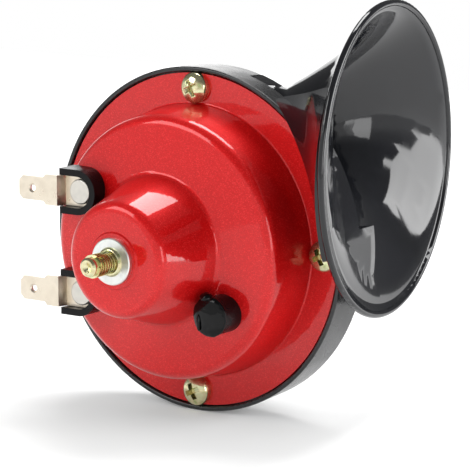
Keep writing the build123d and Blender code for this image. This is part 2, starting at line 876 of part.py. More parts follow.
def make_adjuster_sleeve():
    """Round wall on the plateau that holds the sealing compound."""
    inner = sleeve_radius - sleeve_wall
    body = ring(sleeve_radius, inner, sleeve_y, plateau_y, *adjuster_place) - dome
    return fillet(body.edges().group_by(Axis.Y)[0], sleeve_wall / 3)


def make_sealing_compound():
    """Compound poured into the sleeve over the screw and its bush."""
    body = rod(sleeve_radius - sleeve_wall, sleeve_y + sealant_set_back, plateau_y, *adjuster_place)
    body = body - dome - rod(adjuster_bush_radius, bush_y, plateau_y, *adjuster_place)
    body = body - rod(adjuster_screw_radius, screw_front_y, plateau_y, *adjuster_place)
    return body


# ---- Terminals --------------------------------------------------------------------------
rivet_station_radius = hypot(terminal_x, terminal_spacing / 2)
terminal_seat_y = plateau_inner_y(rivet_station_radius) - sheet_along_y
insulator_front_y = terminal_seat_y - insulator_front
strip_back_y = terminal_seat_y - insulator_floor
strip_front_y = strip_back_y - blade_sheet
tab_back_y = strip_back_y - blade_joggle
tab_front_y = tab_back_y - blade_sheet
slot_half = insulator_radius - insulator_wall
strip_half = slot_half - blade_slot_clearance
inner_seat_y = plateau_inner_y(rivet_station_radius)
inner_washer_back_y = inner_seat_y + inner_washer_thickness


def arch(half_width, arm, place_z, start_y, end_y):
    """A plate round on its +X side and straight on its arms towards -X."""
    body = rod(half_width, start_y, end_y, terminal_x, place_z)
    corners = [
        (terminal_x - arm, place_z - half_width),
        (terminal_x, place_z - half_width),
        (terminal_x, place_z + half_width),
        (terminal_x - arm, place_z + half_width),
    ]
    return body + slab(corners, start_y, end_y)


def make_terminal_insulator(place_z):
    """Moulded insulator: floor under the strip, wall round three sides, spigot in the cover."""
    body = arch(insulator_radius, insulator_arm, place_z, insulator_front_y, plateau_y)
    open_arm = insulator_arm + insulator_radius
    body = body - arch(slot_half, open_arm, place_z, insulator_front_y, strip_back_y)
    body = body - dome
    spigot_end_y = inner_seat_y - plateau_slope * insulator_spigot_radius
    body = body + rod(insulator_spigot_radius, strip_back_y, spigot_end_y, terminal_x, place_z)
    bore = rivet_radius + rivet_clearance
    return body - rod(bore, insulator_front_y, flange_y, terminal_x, place_z)


def make_terminal_blade(place_z):
    """Tinned blade: strip under the rivet, joggle, shoulder and 6.3 mm tab."""
    half = tab_width / 2
    back_x = terminal_x + strip_half
    joggle_end_x = blade_joggle_x - blade_sheet
    path = [
        (back_x, strip_back_y),
        (back_x, strip_front_y),
        (blade_joggle_x, strip_front_y),
        (joggle_end_x, tab_front_y),
        (blade_tip_x, tab_front_y),
        (blade_tip_x, tab_back_y),
        (joggle_end_x - blade_sheet, tab_back_y),
        (joggle_end_x, strip_back_y),
    ]
    side = make_face(Polyline(*path, close=True))
    body = extrude(Pos(0, 0, place_z - strip_half) * side, 2 * strip_half)
    cut = [
        (blade_tip_x, half - tab_corner),
        (blade_tip_x + tab_corner, half),
        (blade_shoulder_x, half),
        (blade_shoulder_x + strip_half - half, strip_half),
        (back_x, strip_half),
        (back_x, -strip_half),
        (blade_shoulder_x + strip_half - half, -strip_half),
        (blade_shoulder_x, -half),
        (blade_tip_x + tab_corner, -half),
        (blade_tip_x, tab_corner - half),
    ]
    outline = slab([(x, place_z + z) for x, z in cut], tab_front_y, strip_back_y)
    body = body & outline
    body = body & arch(strip_half, terminal_x - blade_tip_x, place_z, tab_front_y, strip_back_y)
    hole_x = blade_tip_x + tab_hole_from_tip
    body = body - rod(tab_hole_radius, tab_front_y, tab_back_y, hole_x, place_z)
    wide = tab_hole_radius + tab_hole_edge
    body = body - cone_pit(wide, tab_hole_radius, tab_front_y, tab_hole_edge, hole_x, place_z)
    bore = rivet_radius + rivet_clearance
    return body - rod(bore, strip_front_y, strip_back_y, terminal_x, place_z)


def make_terminal_washer(place_z):
    """Insulating washer inside the cover, shaped to the plateau's slope."""
    body = rod(inner_washer_radius, boss_root_y, inner_washer_back_y, terminal_x, place_z)
    body = body & dome_cavity
    return body - rod(rivet_radius + rivet_clearance, boss_root_y, flange_y, terminal_x, place_z)


def make_terminal_rivet(place_z):
    """Rivet that holds blade, insulator and washer to the cover and carries the current in."""
    head_y = strip_front_y - rivet_head_height
    head = rod(rivet_head_radius, head_y, strip_front_y, terminal_x, place_z)
    head = fillet(head.edges().group_by(Axis.Y)[0], rivet_head_height / 2)
    body = head + rod(rivet_radius, strip_front_y, inner_washer_back_y, terminal_x, place_z)
    tail_y = inner_washer_back_y + rivet_tail_height
    return body + rod(rivet_tail_radius, inner_washer_back_y, tail_y, terminal_x, place_z)


# ---- Inner leads ------------------------------------------------------------------------
def make_lead(points):
    """Round wire along straight runs with bends."""
    path = FilletPolyline(*points, radius=lead_bend)
    start = Plane(origin=path @ 0, z_dir=path % 0)
    return sweep(start * Circle(lead_radius), path=path)


lead_start_y = inner_washer_back_y + rivet_tail_height
lead_back_y = lead_start_y + lead_rise
coil_end_y = bobbin_y + (bobbin_back_y - bobbin_y) / 2


def coil_end_points(angle, back_y):
    """The run of a coil's end: out of the winding and back through the pole plate."""
    near_x, near_z = around(coil_radius + lead_end_gap, angle)
    far_x, far_z = around(lead_hole_circle, angle)
    return [(near_x, coil_end_y, near_z), (far_x, coil_end_y, far_z), (far_x, back_y, far_z)]


def make_lead_terminal_to_coil():
    """Lead from the upper terminal's rivet to the winding."""
    place = terminal_spacing / 2
    points = coil_end_points(upper_lead_angle, lead_back_y)
    points.append((terminal_x, lead_back_y, place))
    points.append((terminal_x, lead_start_y, place))
    return make_lead(points)


def make_lead_coil_to_breaker():
    """Lead from the winding to the foot of the contact blade."""
    middle_y = (blade_front_y + blade_back_y) / 2
    x, z = on_strip(0, breaker_foot_width / 2 + lead_end_gap)
    return make_lead(coil_end_points(lower_lead_angle, middle_y) + [(x, middle_y, z)])


def make_lead_terminal_to_breaker():
    """Lead from the lower terminal's rivet to the foot of the contact carrier."""
    place = -terminal_spacing / 2
    middle_y = (carrier_y + carrier_back_y) / 2
    x, z = on_strip(-breaker_post_radius - lead_end_gap, 0)
    return make_lead([
        (terminal_x, lead_start_y, place),
        (terminal_x, middle_y, place),
        (x, middle_y, z),
    ])


# ---- Pieces -----------------------------------------------------------------------------
keep(make_cover(), "cover")
keep(make_gasket(flange_back_y), "front_gasket")
keep(make_diaphragm(), "diaphragm")
keep(make_gasket(diaphragm_back_y), "rear_gasket")
keep(make_front_shell(), "front_shell")
keep(make_trumpet(), "trumpet")
keep(make_flange_screws(), "flange_screws")
keep(make_core_stud(), "core_stud")
keep(make_stud_washer(), "stud_washer")
keep(make_coil_bobbin(), "coil_bobbin")
keep(make_coil_winding(), "coil_winding")
keep(make_pole_plate(), "pole_plate")
keep(make_armature(), "armature")
keep(make_armature_washer(front_washer_y), "diaphragm_washer_front")
keep(make_armature_washer(diaphragm_back_y), "diaphragm_washer_rear")
keep(make_armature_nut(), "armature_nut")
keep(stack_block(pole_plate_back_y, blade_front_y), "breaker_base")
keep(stack_block(blade_back_y, carrier_y), "breaker_insulator")
keep(stack_block(carrier_back_y, stack_back_y), "breaker_clamp")
keep(make_contact_blade(), "contact_blade")
keep(make_contact(blade_back_y), "moving_contact")
keep(make_contact_carrier(), "contact_carrier")
keep(make_contact(moving_contact_back_y), "fixed_contact")
keep(make_breaker_rivets(), "breaker_rivets")
keep(make_adjusting_bush(), "adjusting_bush")
keep(make_adjusting_screw(), "adjusting_screw")
keep(make_adjuster_sleeve(), "adjuster_sleeve")
keep(make_sealing_compound(), "sealing_compound")
for label, place in (("upper", terminal_spacing / 2), ("lower", -terminal_spacing / 2)):
    keep(make_terminal_insulator(place), f"terminal_insulator_{label}")
    keep(make_terminal_blade(place), f"terminal_blade_{label}")
    keep(make_terminal_washer(place), f"terminal_washer_{label}")
    keep(make_terminal_rivet(place), f"terminal_rivet_{label}")
keep(make_lead_terminal_to_coil(), "lead_terminal_to_coil")
keep(make_lead_coil_to_breaker(), "lead_coil_to_breaker")
keep(make_lead_terminal_to_breaker(), "lead_terminal_to_breaker")
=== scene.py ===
# %% [markdown]
# # A car horn, finished around its measured parts
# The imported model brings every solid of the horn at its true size: the red steel cover, the
# black moulded housing and bell, the blades, the screws and all that lies inside. This script
# leaves those solids where they are. It gives each one a finish, makes the few pieces that are
# too fine for the solid model, such as the stud's thread, and sets up the floor, the lights
# and the camera.

# %% Load the frame
import json
from math import atan2, cos, pi, radians, sin

import bpy
from mathutils import Matrix, Vector


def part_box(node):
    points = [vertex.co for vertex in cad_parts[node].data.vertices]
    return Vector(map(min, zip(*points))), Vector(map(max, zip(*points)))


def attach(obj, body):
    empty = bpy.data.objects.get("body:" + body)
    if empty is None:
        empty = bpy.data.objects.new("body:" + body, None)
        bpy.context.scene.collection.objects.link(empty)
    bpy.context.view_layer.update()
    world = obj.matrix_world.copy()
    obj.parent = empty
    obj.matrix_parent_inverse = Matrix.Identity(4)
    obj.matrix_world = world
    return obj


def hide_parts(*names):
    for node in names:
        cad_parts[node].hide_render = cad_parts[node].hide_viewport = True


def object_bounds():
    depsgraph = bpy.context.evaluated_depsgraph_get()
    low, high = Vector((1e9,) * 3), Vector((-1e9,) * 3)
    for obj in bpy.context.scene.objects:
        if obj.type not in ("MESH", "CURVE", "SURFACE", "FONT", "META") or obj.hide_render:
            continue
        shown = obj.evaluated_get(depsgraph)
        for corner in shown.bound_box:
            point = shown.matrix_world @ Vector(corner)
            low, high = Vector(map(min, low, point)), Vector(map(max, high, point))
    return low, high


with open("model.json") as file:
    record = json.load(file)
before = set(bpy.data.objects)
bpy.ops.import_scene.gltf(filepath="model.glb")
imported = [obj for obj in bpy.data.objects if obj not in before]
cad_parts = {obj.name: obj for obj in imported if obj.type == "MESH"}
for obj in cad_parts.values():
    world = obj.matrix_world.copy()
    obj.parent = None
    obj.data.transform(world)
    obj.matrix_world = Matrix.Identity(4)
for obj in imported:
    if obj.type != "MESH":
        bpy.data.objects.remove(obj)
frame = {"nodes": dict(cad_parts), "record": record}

MM = 0.001
nodes = frame["nodes"]
cad_low, cad_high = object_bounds()
print("solids:", len(nodes), "box in mm:", [round(v / MM, 1) for v in cad_high - cad_low])

# %% [markdown]
# ## Colours and nodes
# A colour is easiest to choose as an sRGB hex value, the way a paint card gives it, but the
# shader works in linear light. One function turns the one into the other. A second adds a node
# to a material: its plain settings by name, and its inputs either as values or as links. An
# input can be named, or numbered where two inputs share a name. Pattern sizes are real sizes in
# millimetres, turned into a texture's scale.

# %% Colour, node and scale helpers
def srgb(hex_value):
    """Linear colour with alpha from an sRGB value such as c81e1e."""
    channels = [int(hex_value[n:n + 2], 16) / 255 for n in (0, 2, 4)]
    return (*[c / 12.92 if c <= 0.04045 else ((c + 0.055) / 1.055) ** 2.4 for c in channels], 1.0)


def add_node(tree, kind, inputs=None, stops=None, **settings):
    """A new node. inputs are values or sockets to link from, stops a ramp's places and colours."""
    node = tree.nodes.new(kind)
    for name, value in settings.items():
        setattr(node, name, value)
    for name, value in (inputs or {}).items():
        if isinstance(value, bpy.types.NodeSocket):
            tree.links.new(value, node.inputs[name])
        else:
            node.inputs[name].default_value = value
    if stops:
        ramp = node.color_ramp
        while len(ramp.elements) < len(stops):
            ramp.elements.new(1.0)
        for element, (place, colour) in zip(ramp.elements, stops):
            element.position = place
            element.color = colour
    return node


def per_metre(size_mm):
    """Texture scale for a pattern whose features are this many millimetres across."""
    return 1 / (size_mm * MM)


def grey(value):
    """A plain grey for a ramp that drives a roughness or the room's strength."""
    return (value, value, value, 1.0)


# %% [markdown]
# ## How each finish is put together
# Most finishes share a frame: a Principled shader with constant values on its own sockets, the
# object's coordinates for the patterns, a colour that drifts a little, a roughness that drifts
# with it, and a fine relief. What sets the finishes apart is which values go in, so the frame is
# one function and each finish below is a short call with its own reasons.

# %% The common frame of a finish
MOTTLE_DETAIL = 3.0
GRAIN_DETAIL = 2.0
MOULD_DRIFT_MM = 14
MOULD_ROUGH_MM = 5
SCRATCH_MM = 0.25
# Cloud noise seldom leaves the middle of its range, so each ramp is spread over that part only.
DRIFT_FROM = 0.35
DRIFT_TO = 0.65
PATCH_FROM = 0.3
PATCH_TO = 0.7
PLATE_FROM = 0.25
PLATE_TO = 0.75


def start_finish(name, **surface):
    """A new material, with its tree, its shader and the object's coordinates."""
    material = bpy.data.materials.new(name)
    material.use_nodes = True
    tree = material.node_tree
    shader = tree.nodes["Principled BSDF"]
    for socket, value in surface.items():
        shader.inputs[socket.replace("_", " ")].default_value = value
    place = add_node(tree, "ShaderNodeTexCoord").outputs["Object"]
    return material, tree, shader, place


def mottle(tree, place, size_mm, stops):
    """Soft patches of this size, read through a ramp of places and colours."""
    inputs = {"Vector": place, "Scale": per_metre(size_mm), "Detail": MOTTLE_DETAIL}
    patches = add_node(tree, "ShaderNodeTexNoise", inputs).outputs["Fac"]
    return add_node(tree, "ShaderNodeValToRGB", {"Fac": patches}, stops).outputs["Color"]


def rough_patches(tree, place, size_mm, lowest, highest):
    """A roughness that drifts between two values."""
    return mottle(tree, place, size_mm, [(PATCH_FROM, grey(lowest)), (PATCH_TO, grey(highest))])


def grained(tree, place, size_mm, depth_mm, detail=GRAIN_DETAIL):
    """The normal of a skin with soft bumps of this size and depth."""
    inputs = {"Vector": place, "Scale": per_metre(size_mm), "Detail": detail}
    bumps = add_node(tree, "ShaderNodeTexNoise", inputs).outputs["Fac"]
    inputs = {"Height": bumps, "Distance": depth_mm * MM}
    return add_node(tree, "ShaderNodeBump", inputs).outputs["Normal"]


def moulded(name, base, drift, roughness, grain_mm, grain_depth_mm, **surface):
    """A moulded plastic or rubber: nearly one colour, with the mould's grain in its skin."""
    material, tree, shader, place = start_finish(name, **surface)
    stops = [(DRIFT_FROM, srgb(base)), (DRIFT_TO, srgb(drift))]
    colour = mottle(tree, place, MOULD_DRIFT_MM, stops)
    tree.links.new(colour, shader.inputs["Base Color"])
    tree.links.new(rough_patches(tree, place, MOULD_ROUGH_MM, *roughness), shader.inputs["Roughness"])
    tree.links.new(grained(tree, place, grain_mm, grain_depth_mm), shader.inputs["Normal"])
    return material


def plated(name, colours, roughness, patch_mm, scratch_depth_mm, stretch=(1, 1, 1), metal=1.0):
    """A plated or bare metal: colour in patches, roughness with it, and drawn or rolled lines."""
    material, tree, shader, place = start_finish(name, Metallic=metal)
    step = (PLATE_TO - PLATE_FROM) / (len(colours) - 1)
    stops = [(PLATE_FROM + step * n, srgb(c)) for n, c in enumerate(colours)]
    tree.links.new(mottle(tree, place, patch_mm, stops), shader.inputs["Base Color"])
    tree.links.new(rough_patches(tree, place, patch_mm / 2, *roughness), shader.inputs["Roughness"])
    drawn = add_node(tree, "ShaderNodeMapping", {"Vector": place, "Scale": stretch}).outputs["Vector"]
    tree.links.new(grained(tree, drawn, SCRATCH_MM, scratch_depth_mm), shader.inputs["Normal"])
    return material


# %% [markdown]
# ## Red baking enamel
# The cover is drawn from steel sheet and sprayed with a red metallic enamel, then baked. Three
# things make it look like that and not like plastic: a clear, glossy top coat, fine metal flakes
# that sparkle a little under it, and the very slight orange peel that spray leaves. The real
# flakes are under a tenth of a millimetre, too fine to show, so they are drawn about twice as wide.

# %% Red enamel
FLAKE_MM = 0.22
FLAKE_TILT_MM = 0.002
PEEL_MM = 1.6
PEEL_DEPTH_MM = 0.012
PEEL_DETAIL = 1.0


def red_enamel():
    material, tree, shader, place = start_finish(
        "red baking enamel",
        Metallic=0.3,
        Roughness=0.42,
        Specular_IOR_Level=0.1,
        Coat_Weight=0.75,
        Coat_Roughness=0.05,
    )
    flakes = add_node(tree, "ShaderNodeTexVoronoi", {"Vector": place, "Scale": per_metre(FLAKE_MM)})
    spark = add_node(tree, "ShaderNodeSeparateColor", {"Color": flakes.outputs["Color"]})
    stops = [(0.0, srgb("c4080a")), (0.75, srgb("d30b0e")), (1.0, srgb("e42a2a"))]
    colour = add_node(tree, "ShaderNodeValToRGB", {"Fac": spark.outputs["Red"]}, stops)
    tree.links.new(colour.outputs["Color"], shader.inputs["Base Color"])
    heights = {"Height": spark.outputs["Green"], "Distance": FLAKE_TILT_MM * MM}
    tilt = add_node(tree, "ShaderNodeBump", heights)
    tree.links.new(tilt.outputs["Normal"], shader.inputs["Normal"])
    peel = grained(tree, place, PEEL_MM, PEEL_DEPTH_MM, PEEL_DETAIL)
    tree.links.new(peel, shader.inputs["Coat Normal"])
    return material


# %% [markdown]
# ## Black mouldings
# The shell behind the flange is a satin black ABS. The rim, the spiral and the bell are one
# moulding of the same plastic from a polished tool, so they mirror the room. The terminal
# insulators and the adjuster's collar are a filled phenolic, a deeper black with little shine, and
# the adjuster is sealed with a black resin that sets with a wet gloss.
#
# Each moulding is given by its two colours, the range of its roughness, and the size and depth of
# its grain in millimetres.

# %% Mouldings, resin and gaskets
def black_shell():
    return moulded("satin black ABS", "17181a", "1d1e20", (0.22, 0.32), 0.5, 0.003, IOR=1.53)


def black_trumpet():
    return moulded("polished black ABS", "131417", "17181c", (0.06, 0.1), 2.5, 0.002, IOR=1.53)


def insulator():
    return moulded("black phenolic", "08080a", "0d0d0f", (0.24, 0.34), 0.4, 0.003, Specular_IOR_Level=0.17)


def sealing_resin():
    return moulded(
        "black sealing resin", "040405", "080809", (0.05, 0.12), 1.8, 0.02, Specular_IOR_Level=0.22,
    )


def bobbin_moulding():
    return moulded("glass-filled nylon", "d6cfba", "c9c1a9", (0.42, 0.55), 0.6, 0.008, IOR=1.53)


def gasket_fibre():
    return moulded("gasket paper", "5b4a3a", "6c5947", (0.8, 0.92), 0.3, 0.02)


# %% [markdown]
# ## Plated and bare metals
# Yellow zinc is zinc with a thin chromate film whose colour wanders from gold to green and pink.
# White zinc is the same plating without the colour. The blades are brass strip with a warm, dull
# tin plate, rolled along their length. The rivets' heads are tumbled, so they are duller. Inside
# are bare magnet steel, blued spring steel, silver contacts and copper wire.
#
# Each metal is given by the colours of its patches, the range of its roughness, and the patches'
# size and the scratches' depth in millimetres. A scale below one along X draws the scratches out
# that way, as rolling does, and one above one along Y packs them into rings, as turning does.

# %% Metals
def yellow_zinc():
    colours = ["a9b878", "dcdcb2", "d2c49c", "9fb276"]
    return plated("yellow zinc plate", colours, (0.1, 0.17), 2.2, 0.0006, metal=0.95)


def white_zinc():
    return plated("clear zinc plate", ["d0d3d3", "e4e6e2", "d8dad6"], (0.3, 0.42), 2.5, 0.003)


def tinned_blade():
    return plated("tin plate on brass", ["cfc4b2", "e0d6c5", "d2c9ba"], (0.26, 0.36), 6, 0.003, (0.08, 1, 1))


def tumbled_rivet():
    return plated("tumbled rivet steel", ["c9c7c0", "dad7cf"], (0.42, 0.55), 1.5, 0.008)


def bare_steel():
    return plated("turned magnet steel", ["8a8c8f", "9c9ea0"], (0.3, 0.45), 3, 0.006, (1, 12, 1))


def spring_steel():
    return plated("blued spring steel", ["6c7079", "8b8f96"], (0.22, 0.32), 5, 0.003, (0.1, 1, 1))


def contact_silver():
    return plated("contact silver", ["d8d6cf", "e7e5de"], (0.2, 0.3), 1, 0.004)


# %% [markdown]
# ## Enamelled copper wire
# The coil is wound in even layers of wire half a millimetre thick, so its side is a stack of
# round ridges. A wave texture whose bands follow each other along the coil's axis gives those
# ridges as a bump.

# %% Copper
WIRE_MM = 0.5
WIRE_RIDGE_MM = 0.12
COPPER_PATCH_MM = 4
# A wave texture's bands repeat every pi / 10 of its own units.
WAVE_PERIOD = pi / 10


def copper_wire():
    material, tree, shader, place = start_finish("enamelled copper wire", Metallic=1.0, Coat_Weight=0.4)
    stops = [(PATCH_FROM, srgb("b4562c")), (PATCH_TO, srgb("c96f3c"))]
    tree.links.new(mottle(tree, place, COPPER_PATCH_MM, stops), shader.inputs["Base Color"])
    roughness = rough_patches(tree, place, COPPER_PATCH_MM / 2, 0.24, 0.34)
    tree.links.new(roughness, shader.inputs["Roughness"])
    inputs = {"Vector": place, "Scale": per_metre(WIRE_MM) * WAVE_PERIOD}
    turns = add_node(tree, "ShaderNodeTexWave", inputs, bands_direction="Y")
    heights = {"Height": turns.outputs["Fac"], "Distance": WIRE_RIDGE_MM * MM}
    ridges = add_node(tree, "ShaderNodeBump", heights)
    tree.links.new(ridges.outputs["Normal"], shader.inputs["Normal"])
    return material


# %% [markdown]
# ## Handing the finishes out
# Every solid names its finish by a slot. Each slot gets one material, shared by all its solids.

# %% Give every solid its finish
FINISHES = {
    "red_enamel": red_enamel(),
    "black_shell": black_shell(),
    "black_trumpet": black_trumpet(),
    "yellow_zinc": yellow_zinc(),
    "white_zinc": white_zinc(),
    "tinned_blade": tinned_blade(),
    "bare_steel": bare_steel(),
    "spring_steel": spring_steel(),
    "insulator": insulator(),
    "compound": sealing_resin(),
    "copper": copper_wire(),
    "contact_metal": contact_silver(),
    "bobbin_moulding": bobbin_moulding(),
    "gasket_fibre": gasket_fibre(),
}


def give(piece, material):
    """The piece wears this material and no other."""
    piece.data.materials.clear()
    piece.data.materials.append(material)


for row in frame["record"]["subparts"]:
    give(nodes[row["node"]], FINISHES[row["material_slot"]])
rivet_finish = tumbled_rivet()
for side in ("upper", "lower"):
    give(nodes["terminal_rivet_" + side], rivet_finish)
print("finishes:", len(FINISHES) + 1)

# %% [markdown]
# ## Making pieces by hand
# The operators act on whatever is selected, and the frame arrives selected, so each piece starts
# by clearing the selection. Turned shapes, such as a stud, grow from one circle that is extruded
# along the axis and scaled at each step, which is how one would draw a vase. The stud's axis is
# Y, so the circle is added facing along Y.

# %% Clearing the selection and settling a piece
def clear_selection():
    """Leaves edit mode if need be and deselects everything."""
    if bpy.context.object and bpy.context.object.mode == "EDIT":
        bpy.ops.object.mode_set(mode="OBJECT")
    bpy.ops.object.select_all(action="DESELECT")


def settle(piece, smooth_degrees=35):
    """Leaves edit mode, puts the place into the mesh and shades all but sharp edges smooth."""
    clear_selection()
    piece.select_set(True)
    bpy.context.view_layer.objects.active = piece
    bpy.ops.object.transform_apply(location=True, rotation=True, scale=True)
    bpy.ops.object.shade_smooth_by_angle(angle=radians(smooth_degrees))
    return piece


# %% Turning a shape from rings
FACING_Y = (pi / 2, 0, 0)


def turned(name, rings, x=0.0, z=0.0, sides=64):
    """A closed turned shape about a line along Y, from (radius, y) rings in millimetres."""
    clear_selection()
    radius, y = rings[0]
    start = (x * MM, y * MM, z * MM)
    bpy.ops.mesh.primitive_circle_add(
        vertices=sides, radius=radius * MM, fill_type="NGON", location=start, rotation=FACING_Y,
    )
    piece = bpy.context.object
    piece.name = name
    bpy.ops.object.mode_set(mode="EDIT")
    for next_radius, next_y in rings[1:]:
        bpy.ops.mesh.extrude_region_move(TRANSFORM_OT_translate={"value": (0, (next_y - y) * MM, 0)})
        share = next_radius / radius
        centre = (x * MM, next_y * MM, z * MM)
        bpy.ops.transform.resize(value=(share, 1, share), center_override=centre)
        radius, y = next_radius, next_y
    bpy.ops.mesh.select_all(action="SELECT")
    bpy.ops.mesh.normals_make_consistent(inside=False)
    return settle(piece)


# %% [markdown]
# ## The threaded stud
# The solid stud is a plain rod as wide as its thread's crests, which is right for measuring but
# has no thread. A real M6 stud is a 4.8 mm core with a ridge wound round it once per millimetre,
# and its tip is a plain, chamfered pilot with a punched centre. A real ridge is a wedge. This one
# is a thin fin, as wide as a real crest all the way down: a small plane is scaled to the fin's
# section, and a Screw modifier winds it round the axis. What lies behind the thread is kept from
# a copy of the solid, cut off just in front of the origin.

# %% Core and pilot of the stud
STUD_LENGTH = -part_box("core_stud")[0].y / MM
CREST_RADIUS = 3.0
PITCH = 1.0
THREAD_DEPTH = 0.61 * PITCH
ROOT_RADIUS = CREST_RADIUS - THREAD_DEPTH
PILOT_RADIUS = 2.5
PILOT_LENGTH = 1.5
CHAMFER = 0.55
PUNCH_RADIUS = 1.35
PUNCH_DEPTH = 0.9
PUNCH_POINT_RADIUS = 0.15
RUN_OUT = 0.3
REAR_OVERLAP = 0.3

stud = turned("threaded_stud", [
    (PUNCH_POINT_RADIUS, PUNCH_DEPTH - STUD_LENGTH),
    (PUNCH_RADIUS, -STUD_LENGTH),
    (PILOT_RADIUS - CHAMFER, -STUD_LENGTH),
    (PILOT_RADIUS, CHAMFER - STUD_LENGTH),
    (PILOT_RADIUS, PILOT_LENGTH - STUD_LENGTH),
    (ROOT_RADIUS, PILOT_LENGTH + RUN_OUT - STUD_LENGTH),
    (ROOT_RADIUS, REAR_OVERLAP),
])
print("stud core faces:", len(stud.data.polygons))

# %% Applying a modifier
def apply_modifier(piece, kind, **settings):
    """Adds a modifier with these settings and applies it."""
    clear_selection()
    piece.select_set(True)
    bpy.context.view_layer.objects.active = piece
    modifier = piece.modifiers.new(kind.lower(), kind)
    for name, value in settings.items():
        setattr(modifier, name, value)
    bpy.ops.object.modifier_apply(modifier=modifier.name)


# %% The wound ridge
CREST_WIDTH = PITCH / 8
RIDGE_SINK = 0.06
TURNS = int((STUD_LENGTH - PILOT_LENGTH) / PITCH)
STEPS_PER_TURN = 48
RIDGE_SHIFT = 0.1
RIDGE_WELD = 0.001

clear_selection()
ridge_depth = THREAD_DEPTH + RIDGE_SINK
ridge_middle = CREST_RADIUS - ridge_depth / 2
ridge_start = (ridge_middle * MM, (-TURNS - RIDGE_SHIFT) * PITCH * MM, 0)
bpy.ops.mesh.primitive_plane_add(size=MM, location=ridge_start)
ridge = bpy.context.object
ridge.name = "thread_ridge"
bpy.ops.object.mode_set(mode="EDIT")
bpy.ops.transform.resize(value=(ridge_depth, CREST_WIDTH, 1), center_override=ridge.location)
bpy.ops.mesh.delete(type="ONLY_FACE")
settle(ridge)
apply_modifier(
    ridge, "SCREW", axis="Y", screw_offset=PITCH * MM, iterations=TURNS, steps=STEPS_PER_TURN,
    render_steps=STEPS_PER_TURN, use_merge_vertices=True, merge_threshold=RIDGE_WELD * MM,
)
bpy.ops.object.mode_set(mode="EDIT")
bpy.ops.mesh.select_all(action="SELECT")
bpy.ops.mesh.fill_holes(sides=4)
bpy.ops.mesh.normals_make_consistent(inside=False)
settle(ridge)
print("ridge faces:", len(ridge.data.polygons), "turns:", TURNS)

# %% The shoulder and core behind the thread
WELD_MM = 0.002
REAR_CUT = -0.05


def working_copy(node, name):
    """A copy of a solid, open in edit mode with all of it selected and its points welded."""
    clear_selection()
    piece = bpy.data.objects.new(name, nodes[node].data.copy())
    bpy.context.scene.collection.objects.link(piece)
    piece.select_set(True)
    bpy.context.view_layer.objects.active = piece
    bpy.ops.object.mode_set(mode="EDIT")
    bpy.ops.mesh.select_all(action="SELECT")
    bpy.ops.mesh.remove_doubles(threshold=WELD_MM * MM)
    return piece


rear = working_copy("core_stud", "stud_rear")
bpy.ops.mesh.bisect(plane_co=(0, REAR_CUT * MM, 0), plane_no=(0, 1, 0), use_fill=True, clear_inner=True)
settle(rear)
print("faces behind the thread:", len(rear.data.polygons))

# %% Join the stud and let it stand for the solid
clear_selection()
for piece in (ridge, rear, stud):
    piece.select_set(True)
bpy.context.view_layer.objects.active = stud
bpy.ops.object.join()
settle(stud)
give(stud, FINISHES["yellow_zinc"])
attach(stud, "housing")
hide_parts("core_stud")
print("stud faces:", len(stud.data.polygons))

# %% [markdown]
# ## The flange screws' heads
# The solid screws have plain pan heads. Real ones are domed and polished, with a cross recess
# whose arms grow narrower towards its floor, so each head mirrors lamps, room and enamel in
# small patches. A head is turned from rings that follow a quarter ellipse, and two tapered arms
# cut the recess. One head is made, and its copies are turned round the horn's axis. The shanks
# are kept from a copy of the solids, cut off inside the heads.

# %% The heads' measures
HEAD_RADIUS = 4.1
HEAD_RISE = 0.9
HEAD_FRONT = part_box("flange_screws")[0].y / MM - HEAD_RISE
HEAD_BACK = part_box("cover")[1].y / MM
DOME_HEIGHT = 2.3
DOME_STEPS = 14
RECESS_SPAN = 6.2
RECESS_WIDTH = 1.9
RECESS_DEPTH = 2.3
RECESS_TAPER = 0.5
RECESS_TURN = radians(24)
QUARTER_TURN = pi / 2
print("heads in mm from:", round(HEAD_FRONT, 2), "to:", round(HEAD_BACK, 2))

# %% One domed head and the arms that cut its recess
SMALLEST_SHARE = 0.02


def recess_arm(x, z, turn):
    """A tapered arm that cuts half of a cross recess."""
    clear_selection()
    place = Vector((x, HEAD_FRONT, z)) * MM
    bpy.ops.mesh.primitive_cube_add(size=MM, location=place)
    arm = bpy.context.object
    bpy.ops.object.mode_set(mode="EDIT")
    bpy.ops.transform.resize(value=(RECESS_SPAN, 2 * RECESS_DEPTH, RECESS_WIDTH), center_override=place)
    bpy.ops.mesh.select_all(action="DESELECT")
    bpy.ops.object.mode_set(mode="OBJECT")
    for vertex in arm.data.vertices:
        vertex.select = vertex.co.y > 0
    bpy.ops.object.mode_set(mode="EDIT")
    bpy.ops.transform.resize(value=(RECESS_TAPER, 1, RECESS_TAPER), center_override=place)
    bpy.ops.mesh.select_all(action="SELECT")
    bpy.ops.transform.rotate(value=turn, orient_axis="Y", center_override=place)
    return settle(arm)


def domed_head(name, x, z):
    """A head whose dome is a quarter ellipse, with its recess cut."""
    rings = []
    for step in range(DOME_STEPS + 1):
        angle = QUARTER_TURN * step / DOME_STEPS
        share = max(sin(angle), SMALLEST_SHARE)
        rings.append((HEAD_RADIUS * share, HEAD_FRONT + DOME_HEIGHT * (1 - cos(angle))))
    head = turned(name, rings + [(HEAD_RADIUS, HEAD_BACK)], x, z)
    for turn in (RECESS_TURN, RECESS_TURN + QUARTER_TURN):
        arm = recess_arm(x, z, turn)
        apply_modifier(head, "BOOLEAN", object=arm, operation="DIFFERENCE", solver="EXACT")
        bpy.data.objects.remove(arm)
    return head


